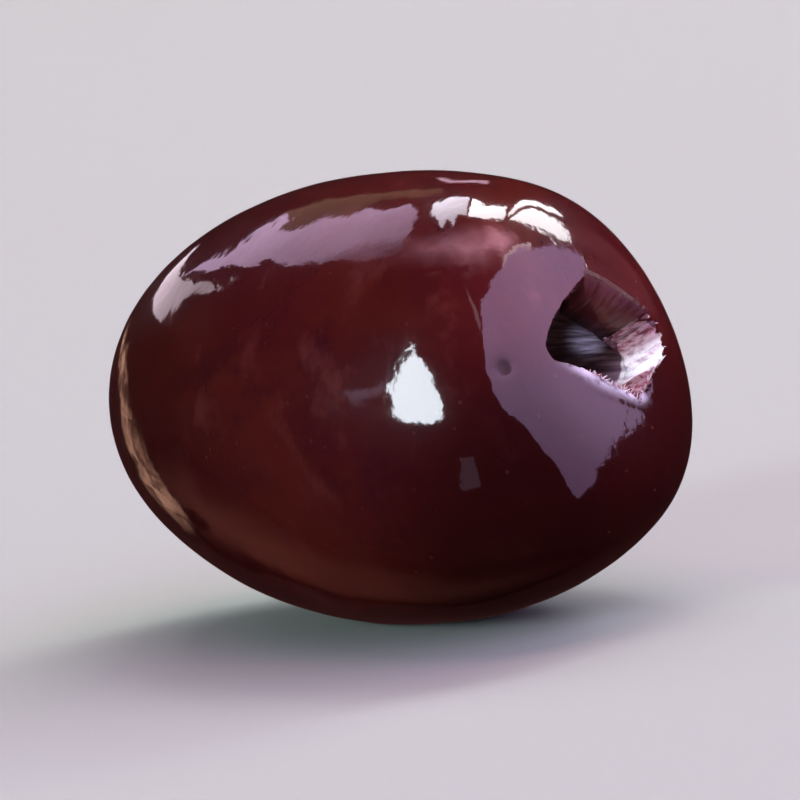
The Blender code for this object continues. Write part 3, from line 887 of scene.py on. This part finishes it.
panels = {
    # glow at the top and the foot, and corners as azimuth and elevation in degrees. A soft panel glows along
    # its middle, by the shares it gives, and fades to both sides. Behind is how much further off it stands.
    # Fade is a direction, where along it the glow starts to drop and is down, and what is left
    "leftWindow": {"colour": (0.96, 0.66, 1.0), "glow": (2.5, 2.7), "fade": (-60, 50, 1.14, 1.196, 0.28),
        "edge": (
        (-94, 22), (-95, 27), (-100, 28), (-106, 27), (-110, 25), (-105, 30.5), (-98, 32.5), (-99, 35.8),
        (-106, 36), (-110, 39), (-108, 42), (-99, 49), (-83, 53), (-64, 51), (-64, 47), (-69, 45), (-75, 41),
        (-78, 38), (-83, 33), (-89, 29))},
    "leftGap": {"colour": (1.0, 0.80, 0.92), "glow": (2.2, 2.8), "edge": (
        (-90, 15), (-82, 17), (-83, 24), (-80, 30), (-87, 26), (-93, 22), (-99, 19), (-106, 15), (-112, 11),
        (-107, 10), (-98, 13))},
    "tanWall": {"behind": 0.03, "colour": (1.0, 0.70, 0.44), "glow": (0.30, 0.38), "edge": (
        (-110, 25), (-113, 27), (-117, 29), (-122, 30), (-121, 33), (-116, 37), (-112, 34), (-107, 36),
        (-99, 36), (-97, 33), (-103, 30))},
    "paneSoft": {"colour": (0.92, 0.86, 1.0), "glow": (7.0, 9.0), "edge": (
        (-113, 43), (-120, 41), (-128, 45), (-129, 64), (-116, 60), (-104, 70), (-106, 60), (-93, 63),
        (-103, 53))},
    "paneMiddle": {"colour": (1.0, 0.97, 1.0), "glow": (17.0, 17.0), "edge": (
        (-131, 49), (-149, 55), (-166, 48), (-182, 52), (-163, 65), (-131, 66))},
    "paneUpper": {"colour": (1.0, 0.96, 1.0), "glow": (15.0, 13.0), "edge": (
        (-168, 45), (-160, 39), (-161, 35), (-165, 31), (-173, 28), (-177, 28), (-169, 35), (-169, 38),
        (-173, 43), (-182, 50))},
    "paneLower": {"colour": (1.0, 0.97, 1.0), "glow": (17.0, 16.0), "edge": (
        (-185, 49), (-176, 42), (-173, 37), (-180, 30), (-187, 27), (-193, 25), (-192, 30), (-190, 36))},
    "rimWindow": {"colour": (1.0, 0.66, 0.86), "glow": (1.7, 1.7), "edge": (
        (-125, 19), (-131, 19.5), (-131, 23), (-125, 22))},
    "skylight": {"soft": (0.0, 0.3, 0.53, 0.5, 0.85, 0.0), "behind": 0.05, "colour": (1.0, 0.46, 0.60),
        "glow": (8.9, 7.7), "edge": (
        (-84, 44), (-93, 62), (-130, 70), (-163, 69), (-188, 55), (-193, 38), (-199, 33), (-215, 43),
        (-246, 60), (-310, 70), (-38, 55), (-40, 38))},
    "redWall": {"soft": True, "behind": 0.12, "colour": (1.0, 0.46, 0.54), "glow": (1.12, 1.12), "edge": (
        (-63, 48), (-50, 66), (100, 80), (150, 50), (143, 46), (105, 64), (-27, 55), (-52, 45))},
    "sliver": {"colour": (1.0, 0.75, 0.9), "glow": (2.0, 2.0), "edge": (
        (38, 70), (51, 63), (60, 53), (53, 50), (47, 59))},
    "rightWindow": {"colour": (0.82, 0.56, 1.0), "glow": (4.6, 2.7), "edge": (
        (159, 36), (161, 31), (165, 27), (166, 24), (164, 20), (160, 17), (149, 14), (137, 5), (130, 0),
        (74, 0), (69, 10), (56, 13), (46, 22), (49, 32), (53, 41), (61, 51), (81, 58), (116, 56),
        (148, 44))},
    "rightWindowLow": {"colour": (0.84, 0.52, 1.0), "glow": (2.6, 2.1), "edge": (
        (74, 0), (130, 0), (121, -7), (101, -33), (91, -48), (85, -39), (81, -18))},
    "frontLamp": {"colour": (0.84, 0.92, 1.0), "glow": (27.0, 27.0), "edge": (
        (-20, 29), (-15, 27), (-10, 22), (-4, 16), (-1, 10), (-3, 6), (-9, 3), (-15, 6), (-21, 11),
        (-24, 19))},
    "lampHalo": {"soft": True, "colour": (0.9, 0.7, 1.0), "glow": (1.4, 1.4), "edge": (
        (-22, 22), (-23, 15), (-22, 9), (-29, 11), (-31, 15), (-28, 20))},
    "shoulder": {"colour": (1.0, 0.78, 0.86), "glow": (7.0, 7.0), "edge": (
        (146, 46), (152, 43.5), (160, 37), (163.5, 31), (161, 31), (159, 36), (148, 44))},
    "farWall": {"soft": True, "behind": 0.08, "colour": (1.0, 0.30, 0.38), "glow": (0.42, 0.42), "edge": (
        (168, 32), (178, 31), (190, 23), (202, 13), (190, 6), (177, 9), (169, 15), (166, 21))},
    "lowGlint": {"colour": (0.9, 0.7, 1.0), "glow": (0.6, 0.6), "edge": (
        (5, -14), (13, -15), (9, -32), (0, -31))},
    "warmRim": {"soft": True, "colour": (1.0, 0.52, 0.36), "glow": (1.5, 1.3), "broken": True, "edge": (
        (-112, 1), (-98, 6), (-87, 5), (-80, 1), (-77, -6), (-77, -12), (-80, -18), (-78, -25), (-100, -22),
        (-96, -15), (-97, -10), (-95, -6), (-95, -2), (-99, 0), (-106, 0), (-114, -1))},
    "warmFoot": {"soft": (0.0, 0.6, 0.9, 1.0, 0.9, 0.6, 0.0), "behind": 0.05, "colour": (1.0, 0.31, 0.22),
        "glow": (0.42, 0.09), "edge": (
        (-66, -4), (-58, -17), (-55, -30), (-57, -43), (-55, -58), (-60, -74), (-170, -86), (-160, -56),
        (-122, -50), (-108, -46), (-100, -41), (-97, -33), (-97, -25), (-96, -16))},
}


def heading(azimuth, elevation):  # the unit vector towards both, in degrees; azimuth 0 is -Y and 90 is +X
    a, e = np.radians(azimuth), np.radians(elevation)
    return dots(np.sin(a) * np.cos(e), -np.cos(a) * np.cos(e), np.sin(e))


def panelMesh(name, look):
    # a flat outline, or if soft two strips that meet along its middle; share is a corner's part of the glow
    edge = np.array(look["edge"], float)
    away = panelSet["distance"] + look.get("behind", 0.0)
    corners = heading(edge[:, 0], edge[:, 1]) * away + np.array(panelSet["aim"])
    ways, share = [list(range(len(corners)))], np.ones(len(corners))
    soft = look.get("soft")
    if soft:
        half = len(corners) // 2
        corners = np.concatenate([corners, (corners[:half] + corners[::-1][:half]) / 2.0])
        share = np.concatenate([np.zeros(2 * half), np.ones(half) if soft is True else np.array(soft)])
        share[[2 * half, -1]] = 0.0
        steps = range(half - 1)
        ways = [[i, i + 1, 2 * half + i + 1, 2 * half + i] for i in steps]
        ways += [[2 * half + i, 2 * half + i + 1, 2 * half - 2 - i, 2 * half - 1 - i] for i in steps]
    mesh = bpy.data.meshes.new(name)
    mesh.from_pydata(corners.tolist(), [], ways)
    mesh.update()
    mesh.attributes.new("share", "FLOAT", "POINT").data.foreach_set("value", share.astype(np.float32))
    return mesh, float(corners[:, 2].min()), float(corners[:, 2].max())


def panelMaterial(name, look, low, high):  # light that runs from foot to top, times share, fade and patches
    material = bpy.data.materials.new(name)
    material.use_nodes = True
    tree = material.node_tree
    tree.nodes.clear()
    start = Wire(tree)
    place = start.add("ShaderNodeTexCoord", output=3)
    height = start.add("ShaderNodeSeparateXYZ", output=2, in0=place)
    top, foot = look["glow"]
    share = start.attribute("share").fit(0.0, panelSet["softEnd"])
    glow = height.fit(low, high, foot, top) * share
    if "fade" in look:
        azimuth, elevation, near, far, left = look["fade"]
        glow = glow * place.dot(tuple(heading(azimuth, elevation))).fit(near, far, 1.0, left)
    if "broken" in look:  # patches, as where a light falls through slats
        glow = glow * place.noise(*panelSet["patches"]).fit(*panelSet["patchFit"])
    light = start.add("ShaderNodeEmission", Color=(*look["colour"], 1.0), Strength=glow)
    out = tree.nodes.new("ShaderNodeOutputMaterial")
    tree.links.new(light.socket, out.inputs["Surface"])
    # a panel that reaches under the floor is found by reflections alone
    material.cycles.emission_sampling = "FRONT_BACK" if low > 0.0 else "NONE"
    return material


def makePanel(name, look):
    mesh, low, high = panelMesh(name, look)
    panel = placed(name, mesh)
    panel.data.materials.append(panelMaterial(name, look, low, high))
    panel.visible_camera = False


makeFloor()
for panelName, panelLook in panels.items():
    makePanel(panelName, panelLook)

lamps = {
    # narrow lamps that the wet skin doesn't mirror, for the torn flesh and the hollow's far wall: the
    # direction they shine from, the place they shine at, and the cone in degrees
    "fleshLamp": {"from": (29, 32), "at": (12.5 * mm, 4.1 * mm, 10.5 * mm), "distance": 0.6, "cone": 1.0,
                  "size": 0.003, "power": 24.0, "colour": (0.8, 0.88, 1.0)},
    "hollowLamp": {"from": (54, 7), "at": (9.4 * mm, 4.3 * mm, 11.1 * mm), "distance": 0.10, "cone": 1.0,
                   "size": 0.0003, "power": 1.3, "colour": (0.40, 0.50, 1.0)},
}

fruitOnly = bpy.data.collections.new("lit by the lamps")
fruitOnly.objects.link(olive)
fruitOnly.objects.link(shredded)


def makeLamp(name, look):  # a spot lamp that looks along its heading at the place, and lights the fruit alone
    lamp = placed(name, bpy.data.lights.new(name, "SPOT"))
    toLamp = Vector(heading(*look["from"]).tolist())
    lamp.matrix_world = (Matrix.Translation(Vector(look["at"]) + toLamp * look["distance"])
                         @ toLamp.to_track_quat("Z", "Y").to_matrix().to_4x4())
    light = lamp.data
    light.energy, light.shadow_soft_size, light.color = look["power"], look["size"], look["colour"]
    light.spot_size, light.spot_blend = math.radians(look["cone"]), 1.0
    lamp.visible_camera = lamp.visible_glossy = False
    lamp.light_linking.receiver_collection = fruitOnly


for lampName, lampLook in lamps.items():
    makeLamp(lampName, lampLook)

world = bpy.data.worlds.new("dim room")
bpy.context.scene.world = world
world.use_nodes = True
background = world.node_tree.nodes["Background"]
background.inputs["Color"].default_value = surroundings["room"]
background.inputs["Strength"].default_value = 1.0
print("floor, panels and lamps made")


# The camera: a long lens at the photograph's angle

view = {
    "azimuth": 55.92, "elevation": 8.0, "roll": 10.1, "distance": 350 * mm,
    "wide": 34.0 * mm,  # what it shows at that distance
    "target": (-1.289 * mm, 0.059 * mm, 9.251 * mm),
    "aside": 1.4,  # how far to the right of it the picture's middle is, in mm
    "sensor": 36.0, "clip": (0.01, 10.0),
}

back = Vector(heading(view["azimuth"], view["elevation"]).tolist())
turned = back.to_track_quat("Z", "Y").to_matrix() @ Matrix.Rotation(math.radians(-view["roll"]), 3, "Z")
middle = Vector(view["target"]) + turned.col[0] * view["aside"] * mm
camera = placed("camera", bpy.data.cameras.new("camera"))
camera.matrix_world = Matrix.Translation(middle + back * view["distance"]) @ turned.to_4x4()
camera.data.sensor_width = view["sensor"]
camera.data.lens = view["sensor"] * view["distance"] / view["wide"]
camera.data.clip_start, camera.data.clip_end = view["clip"]
bpy.context.scene.camera = camera
bpy.context.scene.view_settings.view_transform = "Standard"
print("camera placed")
